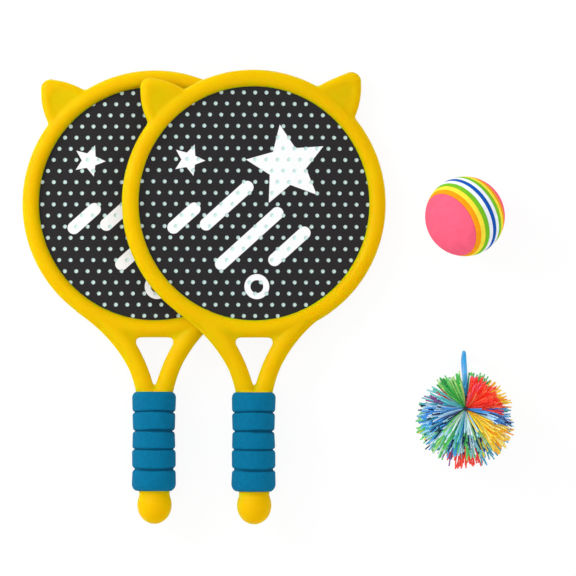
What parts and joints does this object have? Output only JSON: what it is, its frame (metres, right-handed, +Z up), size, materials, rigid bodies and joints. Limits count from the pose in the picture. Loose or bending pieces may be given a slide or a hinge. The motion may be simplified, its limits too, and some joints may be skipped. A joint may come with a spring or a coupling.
{
  "type": "toy racket set",
  "caption": "Toy racket set lying flat: cat-eared moulded rackets with perforated faces and banded foam grips, a striped foam ball and a rubber string ball with a finger loop.",
  "frame": {"origin": "on the surface the set lies on, under the middle of the set's box", "axes": "+Z up off the surface, +Y from the handles towards the ears, +X from the rackets towards the balls"},
  "size_m": [0.389, 0.3587, 0.0763],
  "materials": {
    "frame_yellow": "satin",
    "face_dark": "matte",
    "core_aqua": "matte",
    "grip_foam": "matte",
    "foam_pink": "matte",
    "foam_orange": "matte",
    "foam_yellow": "matte",
    "foam_green": "matte",
    "foam_white": "matte",
    "foam_blue": "matte",
    "rubber_green": "satin",
    "rubber_teal": "satin",
    "rubber_blue": "satin",
    "rubber_lime": "satin",
    "rubber_purple": "satin",
    "rubber_yellow": "satin",
    "rubber_navy": "satin",
    "rubber_red": "satin",
    "rubber_loop": "satin"
  },
  "bodies": {
    "left_racket": {"left_front_shell": "frame_yellow", "left_back_shell": "frame_yellow", "left_front_skin": "face_dark", "left_face_core": "core_aqua", "left_back_skin": "face_dark", "left_foam_grip": "grip_foam"},
    "right_racket": {"right_front_shell": "frame_yellow", "right_back_shell": "frame_yellow", "right_front_skin": "face_dark", "right_face_core": "core_aqua", "right_back_skin": "face_dark", "right_foam_grip": "grip_foam"},
    "foam_ball": {"foam_cap_near": "foam_pink", "foam_orange_near": "foam_orange", "foam_yellow_near": "foam_yellow", "foam_green_near": "foam_green", "foam_white_near": "foam_white", "foam_blue_middle": "foam_blue", "foam_white_far": "foam_white", "foam_green_far": "foam_green", "foam_yellow_far": "foam_yellow", "foam_orange_far": "foam_orange", "foam_cap_far": "foam_pink"},
    "string_ball": {"strands_green": "rubber_green", "strands_teal": "rubber_teal", "strands_blue": "rubber_blue", "strands_lime": "rubber_lime", "strands_purple": "rubber_purple", "strands_yellow": "rubber_yellow", "strands_navy": "rubber_navy", "strands_red": "rubber_red", "core_tie": "rubber_loop", "finger_loop": "rubber_loop"}
  },
  "joints": [
    {"name": "right_racket_lift", "type": "slide", "parent": "left_racket", "child": "right_racket", "axis": [0, 0, 1], "range_m": [0, 0.15]},
    {"name": "foam_ball_lift", "type": "slide", "parent": "left_racket", "child": "foam_ball", "axis": [0, 0, 1], "range_m": [0, 0.15]},
    {"name": "string_ball_lift", "type": "slide", "parent": "left_racket", "child": "string_ball", "axis": [0, 0, 1], "range_m": [0, 0.15]}
  ]
}
